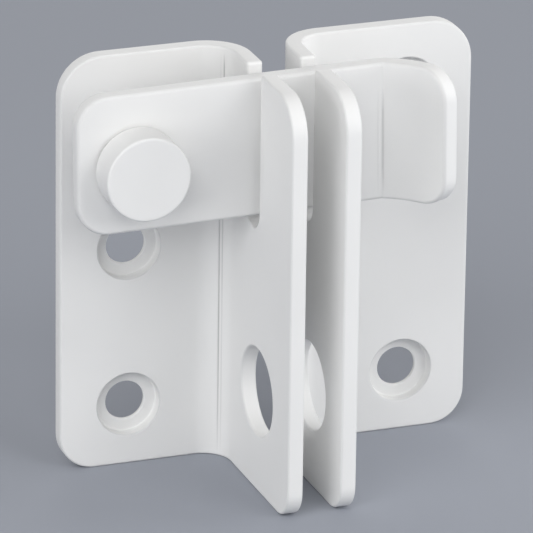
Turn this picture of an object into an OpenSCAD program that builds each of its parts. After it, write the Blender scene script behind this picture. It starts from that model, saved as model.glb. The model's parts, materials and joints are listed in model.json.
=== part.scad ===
/* [Sheet] */
// Thickness of the bent sheet
sheet_t = 2.25; // [1.8:0.05:2.8]
// Inside radius of the bend between plate and flange
bend_r = 4; // [2.4:0.1:4.4]
// Radius of the plates' upper outer corners
plate_top_r = 6; // [2:0.5:7]
// Radius of the plates' lower outer corners
plate_low_r = 5; // [2:0.5:7]
// Radius of the flanges' upper front corners
flange_top_r = 5.5; // [2:0.5:6.5]
// Radius of the flanges' lower front corners
flange_low_r = 4.2; // [2:0.2:6.4]

/* [Brackets] */
// Height of both brackets
bracket_h = 60; // [56:1:80]
// Left bracket from its outer edge to the flange's inner face
left_plate_w = 25.75; // [25:0.25:36]
// Right bracket from its outer edge to the flange's inner face
right_plate_w = 28.5; // [25:0.25:36]
// Depth of the flanges, from the door to their front edge
flange_depth = 29; // [28:0.5:36]
// Gap between the two flanges
flange_gap = 5.4; // [4.6:0.2:8]

/* [Notches and padlock holes] */
// Width of the notch that the bar drops into
notch_w = 5.4; // [4.6:0.2:6.6]
// Distance from the door to the middle of the notch
notch_y = 13.7; // [12.7:0.1:14.2]
// Room left under the bar at the bottom of the notch
notch_room = 1.5; // [1:0.25:3]
// Diameter of the padlock holes
padlock_hole_d = 12.5; // [9:0.5:14]
// Distance from the door to the middle of the padlock holes
padlock_hole_y = 16.3; // [15:0.1:17]
// Height of the padlock holes above the lower edge
padlock_hole_z = 14.4; // [12:0.2:18]

/* [Screw holes] */
// Diameter of the screw holes
screw_hole_d = 5.6; // [4:0.2:6.4]
// Diameter of the recess for the screw's head
screw_recess_d = 9; // [7.5:0.5:10]
// Sheet left under the screw's head
screw_ledge = 0.65; // [0.4:0.05:1.2]
// Distance from the left bracket's outer edge to its screw holes
left_screw_edge = 9.9; // [7:0.1:11]
// Distance from the right bracket's outer edge to its screw holes
right_screw_edge = 9.6; // [7:0.1:11]
// Height of the lowest screw holes above the lower edge
screw_low_z = 8.8; // [7:0.1:11]
// Spacing of the left bracket's two screw holes
left_screw_spacing = 23; // [18:0.5:25]
// Spacing of the right bracket's two screw holes
right_screw_spacing = 41.7; // [32:0.1:42]

/* [Latch bar] */
// Thickness of the bar
bar_t = 2.25; // [1.5:0.05:2.8]
// Height of the bar
bar_h = 19.7; // [15:0.1:22]
// Drop from the bracket's top to the bar's upper edge
bar_drop = 1.25; // [0.5:0.25:4]
// Distance from the pivot to the bar's blunt end
bar_tail = 8.3; // [7:0.1:10]
// Distance from the right flange's outer face to the crease of the bent tip
crease_gap = 8.4; // [4:0.2:12]
// Radius of the bar's corners
bar_corner_r = 4.5; // [2:0.25:4.75]
// Angle of the crease at the start of the bent tip
tip_crease_deg = 28; // [5:1:30]
// Angle that the bent tip reaches at its end
tip_end_deg = 74; // [66:1:85]
// Radius of the bent tip's concave side
tip_r = 12.2; // [10:0.2:16]

// Tilt at which the bar stands in the notches, with its tip a little above level
bar_tilt_deg = 1; // [0:0.25:2]

/* [Pivot] */
// Distance from the left bracket's outer edge to the pivot
pivot_edge_x = 6.6; // [6.2:0.2:8.4]
// Height of the bar's centreline above the pivot
pivot_offset = 0.6; // [0:0.1:1]
// Diameter of the pivot's journal
journal_d = 5; // [4:0.25:6]
// Radial clearance of the bar on the journal
journal_clearance = 0.05; // [0.02:0.01:0.1]
// Diameter of the stud's shoulder
shoulder_d = 9; // [8:0.5:10]
// Diameter of the spigot that holds the knob
spigot_d = 3.6; // [2.5:0.1:3.8]
// Length of the spigot inside the knob
spigot_len = 3; // [2:0.25:3.5]
// Outer diameter of the washers
washer_d = 9; // [8:0.5:10]
// Thickness of the washers
washer_t = 0.3; // [0.2:0.05:0.5]
// Side play of the bar between the washers
bar_play = 0.05; // [0.03:0.01:0.1]
// Diameter of the knob
knob_d = 11.8; // [10.5:0.2:13]
// Height of the knob
knob_h = 5; // [4.3:0.1:8]
// Chamfer of the knob's front edge
knob_chamfer = 0.3; // [0.1:0.05:0.6]

/* [Hidden] */
$fn = 96;
eps = 0.01;
// How far a cut runs past the faces it opens
over = 1;
// A corner's arc is set this far out, so that it crosses the faces beside it and isn't only tangent
corner_shift = 0.004;

paint = [0.87, 0.87, 0.86];
metal = [0.72, 0.72, 0.74];
nylon = [0.92, 0.91, 0.88];

// X of the left and right outer edges, with the middle of the gap at zero
left_edge_x = -(flange_gap / 2 + left_plate_w);
right_edge_x = flange_gap / 2 + right_plate_w;

bar_top = bracket_h - bar_drop;
bar_low = bar_top - bar_h;
bar_rear_y = -(notch_y - bar_t / 2);
bar_front_y = bar_rear_y - bar_t;

pivot_x = left_edge_x + pivot_edge_x;
pivot_z = bar_low + bar_h / 2 - pivot_offset;
bar_end_x = pivot_x - bar_tail;
crease_x = flange_gap / 2 + sheet_t + crease_gap;
// How far the flat stretch runs past the crease, inside the curved tip
tip_overlap = bar_t * tan(tip_crease_deg / 2) / 2;

notch_low_z = bar_low - notch_room;

rear_washer_y = bar_rear_y + bar_play;
shoulder_y = rear_washer_y + washer_t;
front_washer_y = bar_front_y - bar_play;
knob_rear_y = front_washer_y - washer_t;

// Radial clearance of the fixed fits: stud in plate, washers on journal, knob on spigot
fixed_clearance = 0.02;
// Room left at the end of the knob's blind hole
spigot_end_room = 0.2;

// A round rod along Y from one depth to a nearer one
module rod_y(x, z, d, rear_y, front_y)
    translate([x, rear_y, z]) rotate([90, 0, 0]) cylinder(d = d, h = rear_y - front_y);

// What is cut off a corner to round it; the corner is at the origin and the piece lies on -X, -Y
module corner_waste(r, h)
    difference() {
        translate([-r, -r, -eps]) cube([r + over, r + over, h + 2 * eps]);
        translate([corner_shift - r, corner_shift - r, -over]) cylinder(r = r, h = h + 2 * over);
    }

// One recessed screw hole in a plate
module screw_hole(x, z) {
    rod_y(x, z, screw_hole_d, over, -sheet_t - over);
    rod_y(x, z, screw_recess_d, -screw_ledge, -sheet_t - over);
}

// Plate, bend and flange of a right-hand bracket, with the flange's inner face at x = 0
module bent_sheet(plate_w) {
    bend_out = bend_r + sheet_t;
    translate([bend_out, -sheet_t, 0]) cube([plate_w - bend_out, sheet_t, bracket_h]);
    translate([0, -flange_depth, 0]) cube([sheet_t, flange_depth - bend_out, bracket_h]);
    intersection() {
        translate([bend_out, -bend_out, 0]) difference() {
            cylinder(r = bend_out, h = bracket_h);
            translate([0, 0, -over]) cylinder(r = bend_r, h = bracket_h + 2 * over);
        }
        translate([0, -bend_out, 0]) cube([bend_out, bend_out, bracket_h]);
    }
}

// Rounded corners of the plate's outer edge
module plate_corners(plate_w) {
    translate([plate_w, 0, bracket_h]) rotate([90, 0, 0]) corner_waste(plate_top_r, sheet_t);
    translate([plate_w, -sheet_t, 0]) rotate([-90, 0, 0]) corner_waste(plate_low_r, sheet_t);
}

// Rounded corners of the flange's front edge
module flange_corners() {
    translate([0, -flange_depth, bracket_h]) rotate([90, 0, 90])
        mirror([1, 0, 0]) corner_waste(flange_top_r, sheet_t);
    translate([0, -flange_depth, 0]) rotate([90, 0, 90])
        mirror([1, 0, 0]) mirror([0, 1, 0]) corner_waste(flange_low_r, sheet_t);
}

// Open notch with a round bottom, cut through the flange from above
module notch() {
    round_z = notch_low_z + notch_w / 2;
    translate([-over, -notch_y, round_z]) rotate([0, 90, 0])
        cylinder(d = notch_w, h = sheet_t + 2 * over);
    translate([-over, -notch_y - notch_w / 2, round_z])
        cube([sheet_t + 2 * over, notch_w, bracket_h - round_z + over]);
}

module padlock_hole()
    translate([-over, -padlock_hole_y, padlock_hole_z]) rotate([0, 90, 0])
        cylinder(d = padlock_hole_d, h = sheet_t + 2 * over);

// A whole right-hand bracket with its two screw holes
module bracket(plate_w, screw_edge, screw_spacing)
    difference() {
        bent_sheet(plate_w);
        plate_corners(plate_w);
        flange_corners();
        notch();
        padlock_hole();
        for (z = [screw_low_z, screw_low_z + screw_spacing])
            screw_hole(plate_w - screw_edge, z);
    }

module left_bracket()
    color(paint)
        difference() {
            translate([-flange_gap / 2, 0, 0]) mirror([1, 0, 0])
                bracket(left_plate_w, left_screw_edge, left_screw_spacing);
            rod_y(pivot_x, pivot_z, journal_d + 2 * fixed_clearance, over, -sheet_t - over);
        }

module right_bracket()
    color(paint)
        translate([flange_gap / 2, 0, 0]) bracket(right_plate_w, right_screw_edge, right_screw_spacing);

// Flat stretch of the bar, which runs on a little inside the curved tip
module bar_flat()
    translate([bar_end_x, bar_front_y, 0]) cube([crease_x + tip_overlap - bar_end_x, bar_t, bar_h]);

// Wedge between two directions, measured from +Y towards +X
module sector(from_deg, to_deg, reach)
    polygon([[0, 0], reach * [sin(from_deg), cos(from_deg)], reach * [sin(to_deg), cos(to_deg)]]);

// Ring that the curved tip is part of, round the Z axis, from inside the flat stretch to the tip's end
module tip_ring()
    intersection() {
        difference() {
            cylinder(r = tip_r + bar_t, h = bar_h);
            translate([0, 0, -over]) cylinder(r = tip_r, h = bar_h + 2 * over);
        }
        translate([0, 0, -over]) linear_extrude(bar_h + 2 * over)
            sector(tip_crease_deg / 2, tip_end_deg, 2 * (tip_r + bar_t));
    }

// Curved tip, round a vertical centre line in front of the bar and level with the bar's rear face
module bar_tip() {
    reach = 2 * (tip_r + bar_t);
    intersection() {
        translate([crease_x - tip_r * sin(tip_crease_deg), bar_front_y - tip_r * cos(tip_crease_deg), 0])
            difference() {
                tip_ring();
                tip_corners();
            }
        translate([crease_x - reach, bar_rear_y - reach, -over]) cube([2 * reach, reach, bar_h + 2 * over]);
    }
}

// Rounded corners at the end of the curved tip, at right angles to its surface
module tip_corners()
    rotate([0, 0, -tip_end_deg])
        for (end = [0, 1])
            translate([0, tip_r - over, end * bar_h]) mirror([0, 0, end]) rotate([-90, 0, 0])
                corner_waste(bar_corner_r, bar_t + 2 * over);

module bar_tail_corners()
    for (end = [0, 1])
        translate([bar_end_x, bar_rear_y, end * bar_h]) mirror([0, 0, end]) mirror([1, 0, 0])
            mirror([0, 1, 0]) rotate([-90, 0, 0]) corner_waste(bar_corner_r, bar_t);

// Turns what is drawn level about the pivot, as far as the bar is tilted
module tilted()
    translate([pivot_x, 0, pivot_z]) rotate([0, -bar_tilt_deg, 0]) translate([-pivot_x, 0, -pivot_z])
        children();

module latch_bar()
    color(paint) tilted()
        difference() {
            translate([0, 0, bar_low]) difference() {
                union() {
                    bar_flat();
                    bar_tip();
                }
                bar_tail_corners();
            }
            rod_y(pivot_x, pivot_z, journal_d + 2 * journal_clearance, over, bar_front_y - over);
        }

// Stud riveted in the plate, with a shoulder, a journal for the bar and a spigot for the knob
module pivot_stud()
    color(metal) {
        rod_y(pivot_x, pivot_z, journal_d, 0, knob_rear_y);
        rod_y(pivot_x, pivot_z, shoulder_d, -sheet_t, shoulder_y);
        rod_y(pivot_x, pivot_z, spigot_d, knob_rear_y + over, knob_rear_y - spigot_len);
    }

module washer(rear_y)
    color(nylon)
        difference() {
            rod_y(pivot_x, pivot_z, washer_d, rear_y, rear_y - washer_t);
            rod_y(pivot_x, pivot_z, journal_d + 2 * fixed_clearance, rear_y + over,
                  rear_y - washer_t - over);
        }

module rear_washer() washer(shoulder_y);

module front_washer() washer(front_washer_y);

// Plain round knob with a blind hole for the spigot
module pivot_knob()
    color(paint)
        difference() {
            union() {
                rod_y(pivot_x, pivot_z, knob_d, knob_rear_y, knob_rear_y - knob_h + knob_chamfer);
                translate([pivot_x, knob_rear_y - knob_h + knob_chamfer, pivot_z]) rotate([90, 0, 0])
                    cylinder(d1 = knob_d, d2 = knob_d - 2 * knob_chamfer, h = knob_chamfer);
            }
            rod_y(pivot_x, pivot_z, spigot_d + 2 * fixed_clearance, knob_rear_y + over,
                  knob_rear_y - spigot_len - spigot_end_room);
        }

left_bracket();
right_bracket();
latch_bar();
pivot_stud();
rear_washer();
front_washer();
pivot_knob();
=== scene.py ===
"""A small door latch of bent sheet in white powder coat: two brackets, and a bar on a pivot across them."""

import json
import math

import bpy
import numpy as np
from mathutils import Matrix, Vector
from mathutils.geometry import delaunay_2d_cdt


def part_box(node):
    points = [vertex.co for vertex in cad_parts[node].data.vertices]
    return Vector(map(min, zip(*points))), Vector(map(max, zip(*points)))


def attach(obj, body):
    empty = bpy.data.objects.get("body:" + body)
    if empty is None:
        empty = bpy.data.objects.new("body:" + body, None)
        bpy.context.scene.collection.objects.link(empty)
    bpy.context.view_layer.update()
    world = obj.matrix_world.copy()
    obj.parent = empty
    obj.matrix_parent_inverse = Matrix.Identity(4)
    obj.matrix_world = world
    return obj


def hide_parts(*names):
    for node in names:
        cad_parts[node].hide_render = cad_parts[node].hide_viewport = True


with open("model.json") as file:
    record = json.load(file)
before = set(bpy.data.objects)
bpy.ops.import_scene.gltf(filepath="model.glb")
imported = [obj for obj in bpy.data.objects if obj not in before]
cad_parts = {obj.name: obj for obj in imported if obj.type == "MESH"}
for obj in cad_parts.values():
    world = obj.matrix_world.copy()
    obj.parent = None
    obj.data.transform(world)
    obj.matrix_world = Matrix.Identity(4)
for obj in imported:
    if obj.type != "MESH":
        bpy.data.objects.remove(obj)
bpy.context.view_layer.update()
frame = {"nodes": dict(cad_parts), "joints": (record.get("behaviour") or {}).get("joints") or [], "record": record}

# Lengths are in millimetres, and places come from the frame
MM = 0.001

# The bent sheet of the brackets, with its corners, notches and screw recesses
SHEET_T = 2.25
BEND_R = 4.0
PLATE_TOP_R = 6.0
PLATE_LOW_R = 5.0
FLANGE_TOP_R = 5.5
FLANGE_LOW_R = 4.2
NOTCH_W = 5.4
NOTCH_Y = 13.7
NOTCH_LOW_Z = 37.55
NOTCH_MOUTH_R = 0.45
SCREW_RECESS_R = 4.5
SCREW_LEDGE = 0.65

# The bar, which is flat as far as its crease and bent to the front from there
BAR_T = 2.25
BAR_H = 19.7
BAR_TAIL = 8.3
BAR_CORNER_R = 4.5
BAR_TILT = math.radians(1)
PIVOT_OFFSET = 0.6
CREASE_X = 13.35
CREASE_R = 0.35
TIP_R = 12.2
TIP_CREASE = math.radians(28)
TIP_END = math.radians(74)

# The stud, and the room round it and in front of it
JOURNAL_R = 2.5
SHOULDER_R = 4.5
SPIGOT_R = 1.8
JOURNAL_CLEARANCE = 0.05
FIXED_CLEARANCE = 0.02
KNOB_BORE_ROOM = 0.2

# Soft edges that the coat leaves on the cut sheet and in its holes, and the bevel at a recess's foot
SHEET_EDGE_R = 0.3
BAR_FRONT_EDGE_R = 0.5
BAR_REAR_EDGE_R = 0.3
PADLOCK_EDGE_R = 0.3
RIVET_EDGE_R = 0.1
BAR_HOLE_EDGE_R = 0.2
RIM_EDGE_R = 0.22
LIP_EDGE_R = 0.15
LEDGE_BEVEL = 0.12

# Turned edges, and the dish in the knob's face
KNOB_EDGE_R = 0.32
KNOB_REAR_R = 0.25
STUD_BREAK = 0.15
KNOB_DISH = 0.06
DISH_POWER = 4
DISH_START = 0.12

# The lines that the brake's tool leaves in the inside of a bend, and of the bar's crease
MARK_ANGLE = math.radians(48)
MARK_HALF_W = 0.16
MARK_DEPTH = 0.13
SECOND_MARK = 0.5
CREASE_MARK_HALF_W = 0.24
CREASE_SECOND_MARK = 0.7

# How many half widths a bend's own lines stay off the middle of a mark
MARK_ROOM = 1.2

# How far a mark takes to fade in from the lower edge and out towards the upper edge, and stays away from
# that, and the heights between at which it changes
BEND_FADE_IN = 7.0
BEND_FADE_OUT = 2.1
BEND_CLEAR = 0.8
BEND_BETWEEN = (20.0, 33.0)
CREASE_FADE_IN = 4.6
CREASE_FADE_OUT = 3.4
CREASE_CLEAR = 3.5

# How strong a mark is at each of its heights, in depth and in painted shade: in the bend the first gives
# way to the second upwards
FIRST_STRENGTHS = (0.0, 0.75, 1.0, 0.9, 0.2, 0.0)
SECOND_STRENGTHS = (0.0, 0.35, 0.4, 0.65, 1.0, 0.0)
CREASE_STRENGTHS = (0.0, 0.6, 0.6, 0.0)
CREASE_SECOND_STRENGTHS = (0.0, 0.2, 0.2, 0.0)

# Where the painted shade greys the rim of a recess, and how strong it is there and on a cut edge's round
RIM_MIDDLE = 0.06
RIM_HALF_W = 0.16
RIM_SHADE = 0.7
EDGE_SHADE = 0.2

# Sizes and depths of the finishes' patterns
COAT_PATCH = 14.0
COAT_PEEL = 0.7
COAT_PEEL_DEPTH = 0.006
TURNING_FEED = 0.12
TURNING_DEPTH = 0.01
PLATING_PATCH = 3.0
NYLON_CLOUD = 2.5
NYLON_GRAIN = 0.15
NYLON_GRAIN_DEPTH = 0.005
FLOOR_CLOUD = 300.0

# Lowest and highest roughness of each finish
COAT_ROUGHNESS = (0.5, 0.64)
STEEL_ROUGHNESS = (0.22, 0.4)
NYLON_ROUGHNESS = (0.42, 0.6)

# The camera, with angles in degrees and its near and far clip in metres
TARGET = Vector((-1.4105, -10.0291, 29.9071))
CAMERA_AZIMUTH = -20.2759
CAMERA_ELEVATION = 21.0551
CAMERA_ROLL = 0.7735
CAMERA_DISTANCE = 831.841
CAMERA_LENS = 411.958
SENSOR_W = 36
CLIP_NEAR = 0.01
CLIP_FAR = 10

# Floor and light in metres: the lamps have one size and one distance, and each its azimuth and elevation in
# degrees and its power in watts
FLOOR_HALF = 3.0
WORLD_STRENGTH = 0.415
LAMP_DISTANCE = 0.9
LAMP_SIZE = 0.5
LAMPS = (
    ("left_softbox", -35, 38, 2.8),
    ("low_left_softbox", -65, 6, 2.9),
    ("front_softbox", 30, 29, 2.4),
    ("right_softbox", 75, 6, 4.9),
    ("rear_softbox", 165, 6, 2.3),
)

# How finely curves are divided
ARC_STEP = math.radians(6)
BEND_STEP = math.radians(4.5)
EDGE_STEPS = 6
TURNED_EDGE_STEPS = 5
MARK_LINES = 7
TIP_LINES = 25
DISH_ROWS = 12
HOLE_SIDES = 64
ROUND_SIDES = 96

# The flat run beside a round edge that keeps a face's shading flat, and the angle that stays sharp
SUPPORT = 0.12
SHARP_ANGLE = math.radians(40)

# Points of an outline, and corners of a filled face, that lie closer than this are one
SAME_POINT = 1e-4
SAME_CORNER = 1e-5


def arc(start, end, steps):
    """Angles of a round stretch, both ends included."""
    return np.linspace(start, end, steps + 1)


def round_edge(thickness, front_r, back_r):
    """Rows of (inset, depth) from the front face round the cut edge to the back face: two quarter circles
    with a straight wall between, and a narrow flat run at each end."""
    turn = arc(0, math.pi / 2, EDGE_STEPS)
    quarter_in, quarter_deep = 1 - np.sin(turn), 1 - np.cos(turn)
    front = np.stack([front_r * quarter_in, front_r * quarter_deep], axis=1)
    back = np.stack([back_r * quarter_in, thickness - back_r * quarter_deep], axis=1)[::-1]
    return np.concatenate([[[front_r + SUPPORT, 0.0]], front, back, [[back_r + SUPPORT, thickness]]])


def recess_edge(hole_r):
    """Rows of (distance from the axis, depth) of a recessed screw hole: soft rim, wall, small bevel at its
    foot, flat ledge, soft lip and wall to the back face."""
    deep = SHEET_T - SCREW_LEDGE
    turn = arc(0, math.pi / 2, EDGE_STEPS)
    quarter_in, quarter_deep = 1 - np.sin(turn), 1 - np.cos(turn)
    rim = np.stack([SCREW_RECESS_R + RIM_EDGE_R * quarter_in, RIM_EDGE_R * quarter_deep], axis=1)
    bevel = np.array([[SCREW_RECESS_R, deep - LEDGE_BEVEL], [SCREW_RECESS_R - LEDGE_BEVEL, deep]])
    lip = np.stack([hole_r + LIP_EDGE_R * quarter_in, deep + LIP_EDGE_R * quarter_deep], axis=1)
    back = np.stack([hole_r + LIP_EDGE_R * quarter_deep, SHEET_T - LIP_EDGE_R * quarter_in], axis=1)
    front_run = [[SCREW_RECESS_R + RIM_EDGE_R + SUPPORT, 0.0]]
    ledge_run = [[hole_r + LIP_EDGE_R + SUPPORT, deep]]
    back_run = [[hole_r + LIP_EDGE_R + SUPPORT, SHEET_T]]
    return np.concatenate([front_run, rim, bevel, ledge_run, lip, back, back_run])


def rounded_outline(corners):
    """Counter-clockwise closed outline in the flat sheet, from corners (s, z, radius): straight runs from
    corner to corner, each corner an arc about a centre one radius to the side it turns to. Returns the
    points and the directions into the sheet."""
    place = np.array([corner[:2] for corner in corners], dtype=float)
    radius = np.array([corner[2] for corner in corners], dtype=float)
    run = np.roll(place, -1, axis=0) - place
    heading = np.arctan2(run[:, 1], run[:, 0])
    before = np.roll(heading, 1)
    turn = (heading - before + math.pi) % (2 * math.pi) - math.pi
    side = np.sign(turn)
    into = np.stack([np.cos(before), np.sin(before)], axis=1)
    left = np.stack([-into[:, 1], into[:, 0]], axis=1)
    start = place - into * (radius * np.tan(np.abs(turn) / 2))[:, None]
    centre = start + left * (side * radius)[:, None]
    points, inward = [], []
    for i in range(len(corners)):
        angle = before[i] + arc(0, turn[i], max(2, math.ceil(abs(turn[i]) / ARC_STEP)))
        normal = np.stack([-np.sin(angle), np.cos(angle)], axis=1)
        points.append(centre[i] - side[i] * radius[i] * normal)
        inward.append(normal)
    points, inward = np.concatenate(points), np.concatenate(inward)
    apart = np.linalg.norm(points - np.roll(points, 1, axis=0), axis=1) > SAME_POINT
    return points[apart], inward[apart]


def cross_stations(points, inward, stations):
    """An outline with a point more wherever it crosses a station, which is a line across the sheet at one s.
    The point divides its edge as s does. Returns the points, the directions into the sheet, and each
    point's station or -1."""
    count = len(points)
    closed = np.concatenate([points, points[:1]])
    closed_in = np.concatenate([inward, inward[:1]])
    s = np.asarray(stations, dtype=float)
    from_s, to_s = closed[:-1, 0][:, None], closed[1:, 0][:, None]
    edge, which = np.nonzero((from_s - s) * (to_s - s) < 0)
    share = (s[which] - from_s[edge, 0]) / (to_s[edge, 0] - from_s[edge, 0])
    key = np.concatenate([np.arange(count), edge + share])
    station = np.concatenate([np.full(count, -1), which])
    order = np.argsort(key, kind="stable")
    key, station = key[order], station[order]
    grid = np.arange(count + 1)
    points = np.stack([np.interp(key, grid, closed[:, k]) for k in (0, 1)], axis=1)
    inward = np.stack([np.interp(key, grid, closed_in[:, k]) for k in (0, 1)], axis=1)
    inward /= np.linalg.norm(inward, axis=1)[:, None]
    return points, inward, station


def at_depths(flat, rows):
    """Rings of flat places, each with the depth of its row."""
    depth = np.broadcast_to(rows[:, 1][:, None, None], flat.shape[:2] + (1,))
    return np.concatenate([flat, depth], axis=2)


def edge_band(points, inward, rows):
    """Vertices (s, z, depth) of an outline carried along rows of (inset, depth)."""
    return at_depths(points[None, :, :] + inward[None, :, :] * rows[:, 0][:, None, None], rows)


def round_band(centre, rows, around=HOLE_SIDES):
    """Vertices of a round hole: rows of (distance from its axis, depth), turned clockwise about its axis."""
    angle = -arc(0, 2 * math.pi, around)[:-1]
    direction = np.stack([np.cos(angle), np.sin(angle)], axis=1)
    reach = direction[None, :, :] * rows[:, 0][:, None, None]
    return at_depths(np.asarray(centre)[None, None, :] + reach, rows)


def plain_hole(centre, hole_r, thickness, edge_r, around=HOLE_SIDES):
    """Vertices of a round hole with a straight wall and soft edges."""
    rows = round_edge(thickness, edge_r, edge_r) + np.array([hole_r, 0.0])
    return round_band(centre, rows, around)


def band_faces(rows, around, first):
    """Quads of a band that closes on itself, facing away from the sheet."""
    r, n = np.meshgrid(np.arange(rows - 1), np.arange(around), indexing="ij")
    after = (n + 1) % around
    corners = [r * around + n, (r + 1) * around + n, (r + 1) * around + after, r * around + after]
    return np.stack(corners, axis=2).reshape(-1, 4) + first


def fill_faces(places, rings, inner, lines):
    """Triangles between the outer ring and the rings of the holes, counter-clockwise, through the inner
    vertices, with lines kept as edges. A triangle with all its corners on one hole's ring lies in the hole
    and is dropped."""
    index = np.concatenate(rings + [inner])
    position = {int(v): i for i, v in enumerate(index)}
    ring_of = [np.full(len(ring), i) for i, ring in enumerate(rings)]
    ring_of = np.concatenate(ring_of + [np.full(len(inner), -1)])
    edges = [(position[int(a)], position[int(b)]) for ring in rings for a, b in zip(ring, np.roll(ring, -1))]
    edges += [(position[int(a)], position[int(b)]) for a, b in lines]
    flat = [Vector(place) for place in places[index]]
    _, _, faces, origins, _, _ = delaunay_2d_cdt(flat, edges, [], 1, SAME_CORNER)
    origin = np.array([o[0] for o in origins])
    triangles = origin[np.array(faces)]
    ring = ring_of[triangles]
    in_hole = (ring[:, 0] > 0) & (ring[:, 0] == ring[:, 1]) & (ring[:, 1] == ring[:, 2])
    triangles = index[triangles[~in_hole]]
    a, b, c = (places[triangles[:, k]] for k in range(3))
    area = (b[:, 0] - a[:, 0]) * (c[:, 1] - a[:, 1]) - (b[:, 1] - a[:, 1]) * (c[:, 0] - a[:, 0])
    triangles[area < 0] = triangles[area < 0][:, ::-1]
    return triangles


def flat_sheet(corners, stations, edge_rows, holes, inner):
    """Flat blank with soft edges: vertices (s, z, depth) with the front face at depth 0, and its faces.
    holes lists the vertices of round bands that go through it, inner more places (s, z) on its front."""
    points, inward, station = cross_stations(*rounded_outline(corners), stations)
    bands = [edge_band(points, inward, edge_rows)] + holes
    vertices = np.concatenate([band.reshape(-1, 3) for band in bands] + [np.pad(inner, ((0, 0), (0, 1)))])
    faces, fronts, backs, first = [], [], [], 0
    for band in bands:
        rows, around = band.shape[:2]
        faces.append(band_faces(rows, around, first))
        fronts.append(first + np.arange(around))
        backs.append(first + (rows - 1) * around + np.arange(around))
        first += rows * around
    pairs = [np.nonzero(station == k)[0] for k in range(len(stations))]
    last = (len(edge_rows) - 1) * len(points)
    front = fill_faces(vertices[:, :2], fronts, np.arange(first, len(vertices)), pairs)
    back = fill_faces(vertices[:, :2], backs, np.arange(0), [pair + last for pair in pairs])
    quads = np.concatenate(faces)
    return vertices, quads, np.concatenate([front, back[:, ::-1]])


def path_step(along, curve, angle):
    """How far a path gets in x and y over a length, from an angle, with an even curvature: the length turned
    by the angle where it is straight, and else the sine's and the cosine's change over the curvature."""
    along, curve, angle = np.broadcast_arrays(np.asarray(along, float), curve, angle)
    safe = np.where(curve == 0, 1.0, curve)
    x = np.where(curve == 0, along * np.cos(angle), (np.sin(angle + safe * along) - np.sin(angle)) / safe)
    y = np.where(curve == 0, along * np.sin(angle), (np.cos(angle) - np.cos(angle + safe * along)) / safe)
    return np.stack([x, y], axis=-1)


def bend(vertices, start, stretches):
    """Bends a flat blank. The front face follows a path seen from above that starts along +X: each stretch
    is (length, radius, 0 if straight or 1 if it turns to the front), and the path's angle changes by
    length / radius. Depth is laid off square to the path. Returns x, y, z."""
    length = np.array([stretch[0] for stretch in stretches])
    curve = np.array([-stretch[2] / stretch[1] if stretch[2] else 0.0 for stretch in stretches])
    begin = np.concatenate([[0.0], np.cumsum(length)[:-1]])
    angle = np.concatenate([[0.0], np.cumsum(length * curve)[:-1]])
    corner = [np.array(start, dtype=float)]
    for k in range(len(stretches) - 1):
        corner.append(corner[-1] + path_step(length[k], curve[k], angle[k]))
    corner = np.array(corner)
    s, z, depth = vertices.T
    k = np.clip(np.searchsorted(begin, s, side="right") - 1, 0, len(stretches) - 1)
    place = corner[k] + path_step(s - begin[k], curve[k], angle[k])
    heading = angle[k] + curve[k] * (s - begin[k])
    x = place[:, 0] - depth * np.sin(heading)
    y = place[:, 1] + depth * np.cos(heading)
    return np.stack([x, y, z], axis=1)


def mark_stations(marks):
    """Lines across the marks of a bend, each mark (place, half width, strengths at its levels)."""
    return np.concatenate([place + half_w * np.linspace(-1, 1, MARK_LINES) for place, half_w, _ in marks])


def mark_levels(low, high, fade_in, fade_out, clear, between=()):
    """Heights at which a mark starts, has faded in, changes, begins to fade out and has gone."""
    return np.array([low, low + fade_in, *between, high - clear - fade_out, high - clear])


def mark_places(marks, levels):
    """Places (s, z) on the lines across the marks, at every level above the first."""
    return np.stack(np.meshgrid(mark_stations(marks), levels[1:]), axis=2).reshape(-1, 2)


def press_marks(vertices, marks, levels, depth, thickness):
    """The fine lines that the brake's tool leaves in the inside of a bend: shallow Vs along z, on the front
    face only, as strong at each level as the mark says. Returns the marked blank, and how far each vertex
    lies in a mark, from 0 to 1, which also sets the painted shade that greys the mark."""
    share = np.zeros(len(vertices))
    for place, half_w, strengths in marks:
        across = np.clip(1 - np.abs(vertices[:, 0] - place) / half_w, 0, 1)
        share = np.maximum(share, across * np.interp(vertices[:, 1], levels, strengths))
    share = share * np.clip(1 - vertices[:, 2] / (thickness / 2), 0, 1)
    marked = vertices.copy()
    marked[:, 2] += depth * share
    return marked, share


def far_from(stations, marks):
    """The stations that no mark lies across."""
    clear = np.ones(len(stations), dtype=bool)
    for place, half_w, _ in marks:
        clear &= np.abs(stations - place) > half_w * MARK_ROOM
    return stations[clear]


def painted_shade_on_rim(vertices, centre):
    """Painted shade round a recess, from 0 to 1: a grey line, most on the middle of its soft rim, and falling
    off evenly with the distance from there and with the depth."""
    from_axis = np.linalg.norm(vertices[:, :2] - np.asarray(centre), axis=1)
    off_middle = np.abs(from_axis - SCREW_RECESS_R - RIM_MIDDLE) / RIM_HALF_W
    return RIM_SHADE * np.clip(1 - off_middle, 0, 1) * np.clip(1 - vertices[:, 2] / RIM_EDGE_R, 0, 1)


def painted_shade_on_edge(vertices, thickness, front_r, back_r):
    """Painted shade on the round of a cut edge, from 0 to 1, which dims its light: it follows sin(2 t), where
    t is the angle round the edge, which the depth tells, and is nothing on the faces and on the straight wall."""
    depth = vertices[:, 2]
    from_front = np.clip(depth / front_r, 0, 1)
    from_back = np.clip((thickness - depth) / back_r, 0, 1)
    turn = np.arccos(1 - np.minimum(from_front, from_back))
    return EDGE_SHADE * np.sin(2 * turn)


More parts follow.
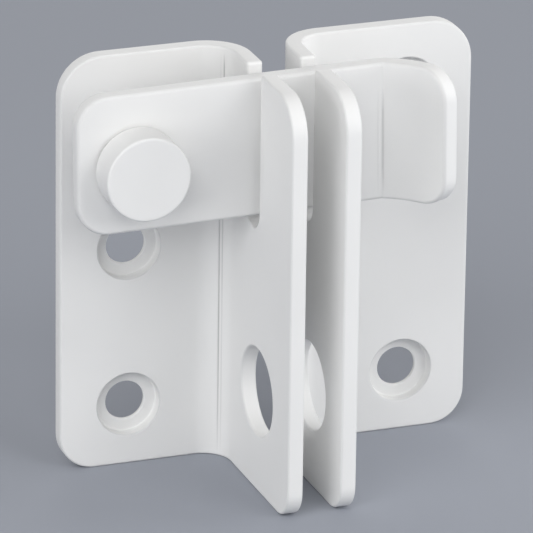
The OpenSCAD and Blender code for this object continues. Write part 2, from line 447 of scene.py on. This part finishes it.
def make_piece(name, places, faces, painted_shade, material, body, slot, node):
    """A mesh object in metres from places in millimetres and a list of face arrays, smooth shaded, that
    stands for one node of the frame. The fourth argument is the painted shade, a grey that each vertex gets, from
    0 to 1."""
    mesh = bpy.data.meshes.new(name)
    mesh.from_pydata((places * MM).tolist(), [], [face for part in faces for face in part.tolist()])
    mesh.validate()
    mesh.shade_smooth()
    mesh.set_sharp_from_angle(angle=SHARP_ANGLE)
    # Painted shade per vertex, which the coat's material turns into grey
    mesh.attributes.new("thin_coat", "FLOAT", "POINT").data.foreach_set("value", painted_shade)
    piece = bpy.data.objects.new(name, mesh)
    bpy.context.scene.collection.objects.link(piece)
    mesh.materials.append(material)
    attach(piece, body)
    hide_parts(node)


def lathe(rows):
    """A piece turned about the pivot's axis: rows of (radius, y) from one end to the other, each row a ring
    but the first and the last, which are points on the axis. Returns places, faces and no painted shade."""
    rows = np.asarray(rows, dtype=float)
    around = ROUND_SIDES
    angle = arc(0, 2 * math.pi, around)[:-1]
    radius, depth = rows[1:-1, 0], rows[1:-1, 1]
    ring_x = pivot_x + radius[:, None] * np.cos(angle)[None, :]
    ring_z = pivot_z + radius[:, None] * np.sin(angle)[None, :]
    ring_y = np.broadcast_to(depth[:, None], ring_x.shape)
    ends = np.array([[pivot_x, rows[0, 1], pivot_z], [pivot_x, rows[-1, 1], pivot_z]])
    rings = np.stack([ring_x, ring_y, ring_z], axis=2).reshape(-1, 3)
    quads = band_faces(len(radius), around, 0)
    n = np.arange(around)
    first, last = len(rings), len(rings) + 1
    after = (n + 1) % around
    base = (len(radius) - 1) * around
    start_cap = np.stack([np.full(around, first), n, after], axis=1)
    end_cap = np.stack([np.full(around, last), base + after, base + n], axis=1)
    return np.concatenate([rings, ends]), [quads, np.concatenate([start_cap, end_cap])], np.zeros(last + 1)


def turned_edge(radius_at, depth_at, radius, from_deg, to_deg):
    """Rows of a round edge on a turned piece: an arc about (radius_at, depth_at)."""
    angle = np.radians(arc(from_deg, to_deg, TURNED_EDGE_STEPS))
    return [[radius_at + radius * math.cos(a), depth_at + radius * math.sin(a)] for a in angle]


def bracket_corners(blank_w, notch_at):
    """Corners (s, z, radius) of a bracket's blank: a plate's and a flange's outer corners, and the notch."""
    near, far = notch_at - NOTCH_W / 2, notch_at + NOTCH_W / 2
    outer = [(0, 0, PLATE_LOW_R), (blank_w, 0, FLANGE_LOW_R), (blank_w, bracket_h, FLANGE_TOP_R)]
    notch = [(far, bracket_h, NOTCH_MOUTH_R), (far, NOTCH_LOW_Z, NOTCH_W / 2)]
    notch += [(near, NOTCH_LOW_Z, NOTCH_W / 2), (near, bracket_h, NOTCH_MOUTH_R)]
    return outer + notch + [(0, bracket_h, PLATE_TOP_R)]


def bracket_mesh(plate_w, screw_edge, screw_spacing, stud):
    """A bracket as the left one is seen: its outer edge at the left, its flange at the right. The blank runs
    from the outer edge (s = 0) over the plate, round the inside of the bend and along the flange. stud is
    the place of the stud's hole, or None. Returns places, faces and the painted shade of each vertex."""
    flat_end = plate_w - SHEET_T - BEND_R
    bend_len = BEND_R * math.pi / 2
    flange_start = flat_end + bend_len
    depth_start = SHEET_T + BEND_R
    blank_w = flange_start + flange_depth - depth_start
    corners = bracket_corners(blank_w, flange_start + NOTCH_Y - depth_start)
    mark_at = flat_end + BEND_R * MARK_ANGLE
    marks = [(mark_at, MARK_HALF_W, FIRST_STRENGTHS), (mark_at + SECOND_MARK, MARK_HALF_W, SECOND_STRENGTHS)]
    around_bend = flat_end + np.linspace(0, bend_len, round(math.pi / 2 / BEND_STEP) + 1)
    beside = [flat_end - SUPPORT, flange_start + SUPPORT]
    stations = np.sort(np.concatenate([far_from(around_bend, marks), mark_stations(marks), beside]))
    screws = [(screw_edge, screws_low_z), (screw_edge, screws_low_z + screw_spacing)]
    holes = [round_band(screw, recess_edge(screw_hole_r)) for screw in screws]
    padlock_at = (flange_start - depth_start - padlock_y, padlock_z)
    holes.append(plain_hole(padlock_at, padlock_r, SHEET_T, PADLOCK_EDGE_R, ROUND_SIDES))
    if stud:
        holes.append(plain_hole(stud, JOURNAL_R + FIXED_CLEARANCE, SHEET_T, RIVET_EDGE_R))
    edge_rows = round_edge(SHEET_T, SHEET_EDGE_R, SHEET_EDGE_R)
    levels = mark_levels(0, bracket_h, BEND_FADE_IN, BEND_FADE_OUT, BEND_CLEAR, BEND_BETWEEN)
    vertices, quads, triangles = flat_sheet(corners, stations, edge_rows, holes, mark_places(marks, levels))
    rim_shade = [painted_shade_on_rim(vertices, screw) for screw in screws]
    edge = painted_shade_on_edge(vertices, SHEET_T, SHEET_EDGE_R, SHEET_EDGE_R)
    vertices, in_marks = press_marks(vertices, marks, levels, MARK_DEPTH, SHEET_T)
    stretches = [(flat_end, 0, 0), (bend_len, BEND_R, 1), (blank_w - flange_start, 0, 0)]
    places = bend(vertices, (-flange_gap / 2 - plate_w, -SHEET_T), stretches)
    # Painted shade: grey in the press marks, on the recesses' rims and on the cut edges' rounds
    return places, [quads, triangles], np.maximum.reduce([in_marks, edge] + rim_shade)


def bar_mesh():
    """The bar: flat from its blunt end to the crease, then a tight bend and a wide one towards the front. It
    is bent level and then turned about the pivot, as far as it is tilted. Returns what a bracket does."""
    flat_w = CREASE_X - bar_end_x
    cut = CREASE_R * math.tan(TIP_CREASE / 2)
    crease_len = CREASE_R * TIP_CREASE
    tip_len = TIP_R * (TIP_END - TIP_CREASE) - cut
    crease_at = flat_w - cut
    tip_at = crease_at + crease_len
    bar_w = tip_at + tip_len
    low = bar_low_z
    corners = [(0, low, BAR_CORNER_R), (bar_w, low, BAR_CORNER_R), (bar_w, low + BAR_H, BAR_CORNER_R),
               (0, low + BAR_H, BAR_CORNER_R)]
    mark_at = crease_at + crease_len / 2
    marks = [(mark_at, CREASE_MARK_HALF_W, CREASE_STRENGTHS),
             (mark_at - CREASE_SECOND_MARK, MARK_HALF_W, CREASE_SECOND_STRENGTHS)]
    in_tip = far_from(tip_at + tip_len * np.linspace(0, 1, TIP_LINES)[1:-1], marks)
    stations = np.sort(np.concatenate([mark_stations(marks), in_tip]))
    hole_at = (pivot_x - bar_end_x, pivot_z)
    hole = plain_hole(hole_at, JOURNAL_R + JOURNAL_CLEARANCE, BAR_T, BAR_HOLE_EDGE_R)
    edge_rows = round_edge(BAR_T, BAR_FRONT_EDGE_R, BAR_REAR_EDGE_R)
    levels = mark_levels(low, low + BAR_H, CREASE_FADE_IN, CREASE_FADE_OUT, CREASE_CLEAR)
    vertices, quads, triangles = flat_sheet(corners, stations, edge_rows, [hole], mark_places(marks, levels))
    edge = painted_shade_on_edge(vertices, BAR_T, BAR_FRONT_EDGE_R, BAR_REAR_EDGE_R)
    vertices, in_marks = press_marks(vertices, marks, levels, MARK_DEPTH, BAR_T)
    stretches = [(crease_at, 0, 0), (crease_len, CREASE_R, 1), (tip_len, TIP_R, 1)]
    places = bend(vertices, (bar_end_x, bar_front_y), stretches)
    x, z = places[:, 0] - pivot_x, places[:, 2] - pivot_z
    places[:, 0] = pivot_x + x * math.cos(BAR_TILT) - z * math.sin(BAR_TILT)
    places[:, 2] = pivot_z + x * math.sin(BAR_TILT) + z * math.cos(BAR_TILT)
    # Painted shade: grey in the crease's marks and on the cut edges' rounds
    return places, [quads, triangles], np.maximum(in_marks, edge)


def knob_mesh():
    """The knob, turned: slightly dished front face, soft front edge, side, rear face and the blind hole that
    the stud's spigot is pressed into. The dish's depth falls with a power of the distance from the axis."""
    bore = SPIGOT_R + FIXED_CLEARANCE
    rows = [[0.0, knob_front_y + KNOB_DISH]]
    dish = np.linspace(DISH_START, 1, DISH_ROWS)
    edge_start = knob_r - KNOB_EDGE_R
    rows += [[edge_start * d, knob_front_y + KNOB_DISH * (1 - d ** DISH_POWER)] for d in dish]
    rows += turned_edge(edge_start, knob_front_y + KNOB_EDGE_R, KNOB_EDGE_R, -90, 0)[1:]
    rows += [[knob_r, knob_front_y + KNOB_EDGE_R + SUPPORT], [knob_r, knob_rear_y - KNOB_REAR_R - SUPPORT]]
    rows += turned_edge(knob_r - KNOB_REAR_R, knob_rear_y - KNOB_REAR_R, KNOB_REAR_R, 0, 90)
    rows += [[knob_r - KNOB_REAR_R - SUPPORT, knob_rear_y], [bore + SUPPORT, knob_rear_y]]
    rows += [[bore, knob_rear_y], [bore, knob_bore_y], [0.0, knob_bore_y]]
    return lathe(rows)


def stud_mesh():
    """The stud, turned: spigot, journal, shoulder, and the riveted end in the plate, with a small break on
    each outer edge."""
    c = STUD_BREAK
    rows = [[0.0, spigot_y], [SPIGOT_R - c, spigot_y], [SPIGOT_R, spigot_y + c], [SPIGOT_R, knob_rear_y]]
    rows += [[JOURNAL_R - c, knob_rear_y], [JOURNAL_R, knob_rear_y + c], [JOURNAL_R, shoulder_y]]
    rows += [[SHOULDER_R - c, shoulder_y], [SHOULDER_R, shoulder_y + c]]
    rows += [[SHOULDER_R, -SHEET_T - c], [SHOULDER_R - c, -SHEET_T], [JOURNAL_R, -SHEET_T]]
    rows += [[JOURNAL_R, -c], [JOURNAL_R - c, 0.0], [0.0, 0.0]]
    return lathe(rows)


def linear(hex_code):
    """Colour for a shader from an sRGB hex value such as 'DADBD9'."""
    srgb = np.array([int(hex_code[i:i + 2], 16) for i in (0, 2, 4)]) / 255
    lit = np.where(srgb <= 0.04045, srgb / 12.92, ((srgb + 0.055) / 1.055) ** 2.4)
    return (*lit.tolist(), 1.0)


def add(tree, kind, settings, links):
    """Adds a node. settings holds its properties and the values of its inputs, links what feeds an input."""
    node = tree.nodes.new(kind)
    for name, value in settings.items():
        if hasattr(node, name):
            setattr(node, name, value)
        else:
            node.inputs[name].default_value = value
    for name, source in links.items():
        tree.links.new(source, node.inputs[name])
    return node


def new_material(name):
    """An empty material, its node tree, and the output for places on the object, in metres."""
    material = bpy.data.materials.new(name)
    material.use_nodes = True
    tree = material.node_tree
    tree.nodes.clear()
    place = add(tree, "ShaderNodeTexCoord", {}, {}).outputs["Object"]
    return material, tree, place


def per_metre(size_mm):
    """Scale of a noise texture whose features are size_mm across."""
    return 1 / (size_mm * MM)


def satin_white_powder_coat():
    """Polyester powder, sprayed on the cut and bent sheet and baked. It flows out to a satin skin with a
    faint orange peel, a little uneven in gloss and tone, and hides the steel. Painted shade greys the
    press marks of a bend and the rim of a recess into fine grey lines, and greys a cut edge's round a
    little against the faces."""
    material, tree, place = new_material("satin_white_powder_coat")
    patches = add(tree, "ShaderNodeTexNoise", {"Scale": per_metre(COAT_PATCH), "Detail": 2.0},
                  {"Vector": place})
    tone = add(tree, "ShaderNodeMix", {"data_type": "RGBA"}, {"Factor": patches.outputs["Fac"]})
    tone.inputs[6].default_value = linear("E5E5E4")
    tone.inputs[7].default_value = linear("EAEAE9")
    # Painted shade: a grey mixed into the coat's tone where the mesh asks for it, in the press marks, on the
    # recesses' rims and on the cut edges' rounds
    painted_shade_input = add(tree, "ShaderNodeAttribute", {"attribute_name": "thin_coat"}, {})
    painted_shade = add(tree, "ShaderNodeMix", {"data_type": "RGBA"}, {"Factor": painted_shade_input.outputs["Fac"]})
    tree.links.new(tone.outputs[2], painted_shade.inputs[6])
    painted_shade.inputs[7].default_value = linear("B6B6B6")
    peel = add(tree, "ShaderNodeTexNoise", {"Scale": per_metre(COAT_PEEL), "Detail": 3.0},
               {"Vector": place})
    gloss = add(tree, "ShaderNodeMapRange", {"To Min": COAT_ROUGHNESS[0], "To Max": COAT_ROUGHNESS[1]},
                {"Value": peel.outputs["Fac"]})
    skin = add(tree, "ShaderNodeBump", {"Strength": 0.35, "Distance": COAT_PEEL_DEPTH * MM},
               {"Height": peel.outputs["Fac"]})
    paint = add(tree, "ShaderNodeBsdfPrincipled", {"IOR": 1.5},
                {"Base Color": painted_shade.outputs[2], "Roughness": gloss.outputs["Result"],
                 "Normal": skin.outputs["Normal"]})
    add(tree, "ShaderNodeOutputMaterial", {}, {"Surface": paint.outputs["BSDF"]})
    return material


def turned_zinc_plated_steel():
    """Free-cutting steel, turned on a lathe and zinc plated: bright, slightly blue, with fine rings that the
    tool left. The rings' pattern follows the distance from the axis plus the place along it."""
    material, tree, place = new_material("turned_zinc_plated_steel")
    centred = add(tree, "ShaderNodeMapping", {"Location": (-pivot_x * MM, 0, -pivot_z * MM)},
                  {"Vector": place})
    split = add(tree, "ShaderNodeSeparateXYZ", {}, {"Vector": centred.outputs["Vector"]})
    square_x = add(tree, "ShaderNodeMath", {"operation": "POWER"}, {0: split.outputs["X"]})
    square_x.inputs[1].default_value = 2
    square_z = add(tree, "ShaderNodeMath", {"operation": "POWER"}, {0: split.outputs["Z"]})
    square_z.inputs[1].default_value = 2
    both = add(tree, "ShaderNodeMath", {"operation": "ADD"},
               {0: square_x.outputs[0], 1: square_z.outputs[0]})
    radius = add(tree, "ShaderNodeMath", {"operation": "SQRT"}, {0: both.outputs[0]})
    along = add(tree, "ShaderNodeMath", {"operation": "ADD"},
                {0: radius.outputs[0], 1: split.outputs["Y"]})
    rings = add(tree, "ShaderNodeTexNoise", {"noise_dimensions": "1D", "Scale": per_metre(TURNING_FEED)},
                {"W": along.outputs[0]})
    cloud = add(tree, "ShaderNodeTexNoise", {"Scale": per_metre(PLATING_PATCH)}, {"Vector": place})
    tone = add(tree, "ShaderNodeMix", {"data_type": "RGBA"}, {"Factor": cloud.outputs["Fac"]})
    tone.inputs[6].default_value = linear("B4B6BA")
    tone.inputs[7].default_value = linear("C6C7C9")
    gloss = add(tree, "ShaderNodeMapRange", {"To Min": STEEL_ROUGHNESS[0], "To Max": STEEL_ROUGHNESS[1]},
                {"Value": rings.outputs["Fac"]})
    cut = add(tree, "ShaderNodeBump", {"Strength": 0.5, "Distance": TURNING_DEPTH * MM},
              {"Height": rings.outputs["Fac"]})
    metal = add(tree, "ShaderNodeBsdfPrincipled", {"Metallic": 1.0},
                {"Base Color": tone.outputs[2], "Roughness": gloss.outputs["Result"],
                 "Normal": cut.outputs["Normal"]})
    add(tree, "ShaderNodeOutputMaterial", {}, {"Surface": metal.outputs["BSDF"]})
    return material


def natural_nylon():
    """Nylon 6 punched from sheet, without pigment: milky, a little yellow, with a matt grain from the
    roll."""
    material, tree, place = new_material("natural_nylon")
    cloud = add(tree, "ShaderNodeTexNoise", {"Scale": per_metre(NYLON_CLOUD)}, {"Vector": place})
    tone = add(tree, "ShaderNodeMix", {"data_type": "RGBA"}, {"Factor": cloud.outputs["Fac"]})
    tone.inputs[6].default_value = linear("D8D4C6")
    tone.inputs[7].default_value = linear("E2DED2")
    grain = add(tree, "ShaderNodeTexNoise", {"Scale": per_metre(NYLON_GRAIN), "Detail": 2.0},
                {"Vector": place})
    gloss = add(tree, "ShaderNodeMapRange", {"To Min": NYLON_ROUGHNESS[0], "To Max": NYLON_ROUGHNESS[1]},
                {"Value": grain.outputs["Fac"]})
    skin = add(tree, "ShaderNodeBump", {"Strength": 0.4, "Distance": NYLON_GRAIN_DEPTH * MM},
               {"Height": grain.outputs["Fac"]})
    plastic = add(tree, "ShaderNodeBsdfPrincipled",
                  {"IOR": 1.53, "Subsurface Weight": 0.1, "Subsurface Scale": MM},
                  {"Base Color": tone.outputs[2], "Roughness": gloss.outputs["Result"],
                   "Normal": skin.outputs["Normal"]})
    add(tree, "ShaderNodeOutputMaterial", {}, {"Surface": plastic.outputs["BSDF"]})
    return material


def matt_painted_board():
    """The floor: a board rolled with matt blue-grey paint."""
    material, tree, place = new_material("matt_painted_board")
    cloud = add(tree, "ShaderNodeTexNoise", {"Scale": per_metre(FLOOR_CLOUD)}, {"Vector": place})
    tone = add(tree, "ShaderNodeMix", {"data_type": "RGBA"}, {"Factor": cloud.outputs["Fac"]})
    tone.inputs[6].default_value = linear("9A9EA7")
    tone.inputs[7].default_value = linear("9DA1AA")
    paint = add(tree, "ShaderNodeBsdfPrincipled", {"Roughness": 0.8, "Specular IOR Level": 0.2},
                {"Base Color": tone.outputs[2]})
    add(tree, "ShaderNodeOutputMaterial", {}, {"Surface": paint.outputs["BSDF"]})
    return material


def make_floor():
    """A flat board that the brackets stand on."""
    r = FLOOR_HALF
    mesh = bpy.data.meshes.new("floor")
    mesh.from_pydata([(-r, -r, 0), (r, -r, 0), (r, r, 0), (-r, r, 0)], [], [(0, 1, 2, 3)])
    floor = bpy.data.objects.new("floor", mesh)
    bpy.context.scene.collection.objects.link(floor)
    mesh.materials.append(matt_painted_board())


def direction(azimuth, elevation):
    """Unit vector from the object towards a place at an azimuth and elevation in degrees."""
    a, e = math.radians(azimuth), math.radians(elevation)
    return Vector((math.sin(a) * math.cos(e), -math.cos(a) * math.cos(e), math.sin(e)))


def make_light(name, azimuth, elevation, power):
    """A square soft light that points at the middle of the object."""
    data = bpy.data.lights.new(name, "AREA")
    data.shape = "SQUARE"
    data.size = LAMP_SIZE
    data.energy = power
    light = bpy.data.objects.new(name, data)
    away = direction(azimuth, elevation)
    light.location = TARGET * MM + away * LAMP_DISTANCE
    light.rotation_mode = "QUATERNION"
    light.rotation_quaternion = (-away).to_track_quat("-Z", "Y")
    bpy.context.scene.collection.objects.link(light)


def make_world():
    """Even pale light from all round."""
    world = bpy.data.worlds.new("studio")
    bpy.context.scene.world = world
    world.use_nodes = True
    tree = world.node_tree
    tree.nodes.clear()
    glow = add(tree, "ShaderNodeBackground", {"Color": linear("FBFBFC"), "Strength": WORLD_STRENGTH}, {})
    add(tree, "ShaderNodeOutputWorld", {}, {"Surface": glow.outputs["Background"]})


def make_camera():
    """The camera at the photograph's viewing angle, with its small roll."""
    data = bpy.data.cameras.new("camera")
    data.lens = CAMERA_LENS
    data.sensor_width = SENSOR_W
    data.clip_start = CLIP_NEAR
    data.clip_end = CLIP_FAR
    camera = bpy.data.objects.new("camera", data)
    away = direction(CAMERA_AZIMUTH, CAMERA_ELEVATION)
    right = (-away).cross(Vector((0, 0, 1))).normalized()
    up = right.cross(-away)
    roll = math.radians(CAMERA_ROLL)
    turned_right = right * math.cos(roll) + up * math.sin(roll)
    turned_up = up * math.cos(roll) - right * math.sin(roll)
    axes = Matrix((turned_right, turned_up, away)).transposed()
    camera.matrix_world = Matrix.Translation((TARGET + away * CAMERA_DISTANCE) * MM) @ axes.to_4x4()
    bpy.context.scene.collection.objects.link(camera)
    bpy.context.scene.camera = camera


def mount(name):
    """A mount of the record."""
    return next(m for m in frame["record"]["mounts"] if m["name"] == name)


def node_box(name):
    """Lowest and highest corners of a CAD node, in millimetres."""
    lo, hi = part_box(name)
    return np.array(lo) / MM, np.array(hi) / MM


# Places of this model's pieces, read from the frame
left_lo, left_hi = node_box("left_bracket")
right_lo, right_hi = node_box("right_bracket")
stud_lo, _ = node_box("pivot_stud")
rear_washer_lo, _ = node_box("rear_washer")
front_washer_lo, front_washer_hi = node_box("front_washer")
knob_lo, knob_hi = node_box("pivot_knob")
pivot_x, _, pivot_z = (np.array(frame["joints"][0]["pos_m"]) / MM).tolist()

bracket_h = float(left_hi[2])
flange_gap = float(right_lo[0] - left_hi[0])
flange_depth = float(-left_lo[1])
left_plate_w = float(left_hi[0] - left_lo[0])
right_plate_w = float(right_hi[0] - right_lo[0])

left_screws, right_screws, padlock = mount("left_screws"), mount("right_screws"), mount("padlock_holes")
screw_hole_r = left_screws["dims"]["hole_r_mm"]
left_spacing = left_screws["dims"]["spacing_y_mm"]
right_spacing = right_screws["dims"]["spacing_y_mm"]
left_screw_edge = left_screws["pos_m"][0] / MM - float(left_lo[0])
right_screw_edge = float(right_hi[0]) - right_screws["pos_m"][0] / MM
screws_low_z = left_screws["pos_m"][2] / MM - left_spacing / 2
padlock_r = padlock["dims"]["r_mm"]
padlock_y = padlock["pos_m"][1] / MM
padlock_z = padlock["pos_m"][2] / MM

bar_end_x = pivot_x - BAR_TAIL
bar_front_y = -NOTCH_Y - BAR_T / 2
bar_low_z = pivot_z + PIVOT_OFFSET - BAR_H / 2
knob_front_y, knob_rear_y = float(knob_lo[1]), float(knob_hi[1])
knob_r = float(knob_hi[0] - knob_lo[0]) / 2
spigot_y = float(stud_lo[1])
knob_bore_y = spigot_y - KNOB_BORE_ROOM
shoulder_y = float(rear_washer_lo[1]) + float(front_washer_hi[1] - front_washer_lo[1])

powder_coat = satin_white_powder_coat()
plated_steel = turned_zinc_plated_steel()
nylon = natural_nylon()

stud_hole = (pivot_x - left_lo[0], pivot_z)
left = bracket_mesh(left_plate_w, left_screw_edge, left_spacing, stud_hole)
make_piece("left_bracket_bent", *left, powder_coat, "brackets", "white_coat", "left_bracket")

places, faces, painted_shade = bracket_mesh(right_plate_w, right_screw_edge, right_spacing, None)
mirrored = places * np.array([-1.0, 1.0, 1.0])
turned_round = [part[:, ::-1] for part in faces]
make_piece("right_bracket_bent", mirrored, turned_round, painted_shade, powder_coat, "brackets", "white_coat",
           "right_bracket")

make_piece("latch_bar_bent", *bar_mesh(), powder_coat, "bar", "white_coat", "latch_bar")
make_piece("pivot_knob_turned", *knob_mesh(), powder_coat, "brackets", "white_coat", "pivot_knob")
make_piece("pivot_stud_turned", *stud_mesh(), plated_steel, "brackets", "plated_steel", "pivot_stud")

for name in ("rear_washer", "front_washer"):
    washer = frame["nodes"][name]
    washer.data.materials.clear()
    washer.data.materials.append(nylon)

make_floor()
make_world()
for lamp in LAMPS:
    make_light(*lamp)
make_camera()

settings = bpy.context.scene.view_settings
settings.view_transform = "Standard"
